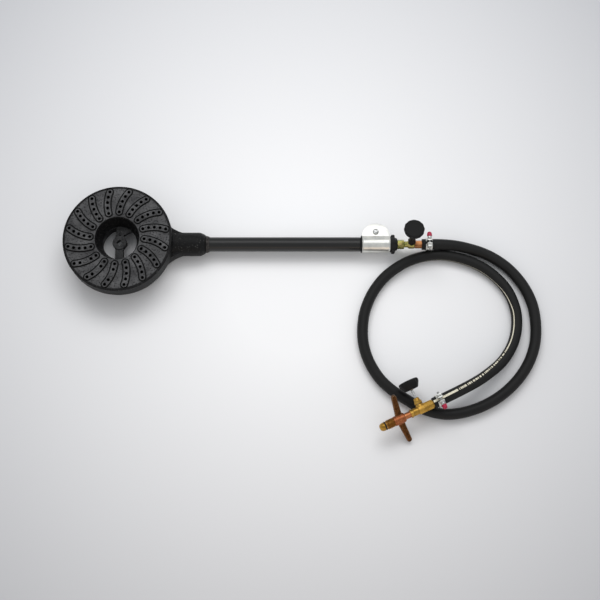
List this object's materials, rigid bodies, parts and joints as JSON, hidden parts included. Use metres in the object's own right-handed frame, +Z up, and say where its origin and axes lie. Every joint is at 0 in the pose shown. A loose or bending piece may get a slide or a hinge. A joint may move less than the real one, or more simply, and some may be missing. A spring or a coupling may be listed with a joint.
{
  "type": "propane ring burner",
  "caption": "Cast-iron ring gas burner head on a pipe arm with air shutter, needle valve, clamped rubber gas hose and wing-nut cylinder fitting.",
  "frame": {"origin": "on the ground under the middle of the rigid burner: head, arm, valve and first hose clamp", "axes": "+X along the arm from the head to the hose, +Z up"},
  "size_m": [0.6984, 0.3702, 0.071],
  "materials": {
    "cast_iron": "sand-cast grey iron, dark and dry, fine grain",
    "black_paint": "black gloss paint over steel pipe",
    "black_casting": "black cast iron, satin",
    "zinc_sheet": "bright zinc-plated sheet steel",
    "bright_steel": "bright plated steel",
    "yellow_zinc": "yellow-passivated zinc plating, satin",
    "brass": "machined yellow brass",
    "bronze": "red brass with a copper cast, lightly tarnished",
    "black_oxide": "black oxide on steel",
    "knob_plastic": "black moulded plastic, matt",
    "hose_rubber": "black rubber hose, satin, with a pale printed line",
    "seal_rubber": "black nitrile seal",
    "red_plastic": "crimson moulded plastic, glossy"
  },
  "bodies": {
    "burner": {"burner_head": "cast_iron", "socket_weld": "cast_iron", "arm_tube": "black_paint", "mixer_body": "black_casting", "gas_jet": "brass", "inlet_nipple": "yellow_zinc", "valve_body_1": "yellow_zinc", "stem_packing_1": "seal_rubber", "gland_nut_1": "black_oxide", "hose_tail_1": "bronze", "clamp_band_1": "zinc_sheet", "clamp_nut_1": "zinc_sheet", "gas_hose": "hose_rubber", "hose_tail_2": "brass", "clamp_band_2": "zinc_sheet", "clamp_nut_2": "zinc_sheet", "tee_body": "brass", "stem_packing_2": "seal_rubber", "gland_nut_2": "brass", "spindle_collar": "brass", "spindle": "bronze", "spindle_nose": "brass", "nose_seal": "seal_rubber"},
    "shutter": {"air_shutter": "zinc_sheet", "shutter_nut": "bright_steel"},
    "shutter_bolt": {"shutter_screw": "bright_steel"},
    "stem_1": {"needle_stem_1": "bright_steel"},
    "hand_knob_1": {"knob_1": "knob_plastic", "knob_insert_1": "brass"},
    "stem_2": {"needle_stem_2": "bright_steel"},
    "hand_knob_2": {"knob_2": "knob_plastic", "knob_insert_2": "brass"},
    "wing": {"wing_nut": "bronze"},
    "clamp_bolt_1": {"clamp_screw_1": "bright_steel", "clamp_cap_1": "red_plastic"},
    "clamp_bolt_2": {"clamp_screw_2": "bright_steel", "clamp_cap_2": "red_plastic"}
  },
  "joints": [
    {"name": "shutter_turn", "type": "hinge", "parent": "burner", "child": "shutter", "pos_m": [0.18415, 0, 0.0185], "axis": [1, 0, 0], "range_deg": [-25, 65]},
    {"name": "shutter_screw_turn", "type": "hinge", "parent": "shutter", "child": "shutter_bolt", "pos_m": [0.18415, 0.019, 0.0185], "axis": [0, 0, 1], "range_deg": [0, 720]},
    {"name": "stem_lift_1", "type": "slide", "parent": "burner", "child": "stem_1", "axis": [0, 0.1736, 0.9848], "range_m": [0, 0.002]},
    {"name": "knob_turn_1", "type": "hinge", "parent": "stem_1", "child": "hand_knob_1", "pos_m": [0.2366, 0, 0.0185], "axis": [0, 0.1736, 0.9848], "range_deg": [0, 900]},
    {"name": "stem_lift_2", "type": "slide", "parent": "burner", "child": "stem_2", "axis": [-0.4216, 0.9041, 0.0698], "range_m": [0, 0.002]},
    {"name": "knob_turn_2", "type": "hinge", "parent": "stem_2", "child": "hand_knob_2", "pos_m": [0.2433, -0.2471, 0.027], "axis": [-0.4216, 0.9041, 0.0698], "range_deg": [0, 900]},
    {"name": "wing_nut_spin", "type": "hinge", "parent": "burner", "child": "wing", "pos_m": [0.2433, -0.2471, 0.027], "axis": [-0.9063, -0.4226, 0], "continuous": true},
    {"name": "clamp_screw_turn_1", "type": "hinge", "parent": "burner", "child": "clamp_bolt_1", "pos_m": [0.2624, 0, 0.0312], "axis": [0, 1, 0], "range_deg": [0, 720]},
    {"name": "clamp_screw_turn_2", "type": "hinge", "parent": "burner", "child": "clamp_bolt_2", "pos_m": [0.27031, -0.23451, 0.0397], "axis": [0.4226, -0.9063, 0], "range_deg": [0, 720]}
  ],
  "couplings": [
    {"joint": "stem_lift_1", "follows": "knob_turn_1", "m_per_rad": 0.00012732},
    {"joint": "stem_lift_2", "follows": "knob_turn_2", "m_per_rad": 0.00012732}
  ]
}
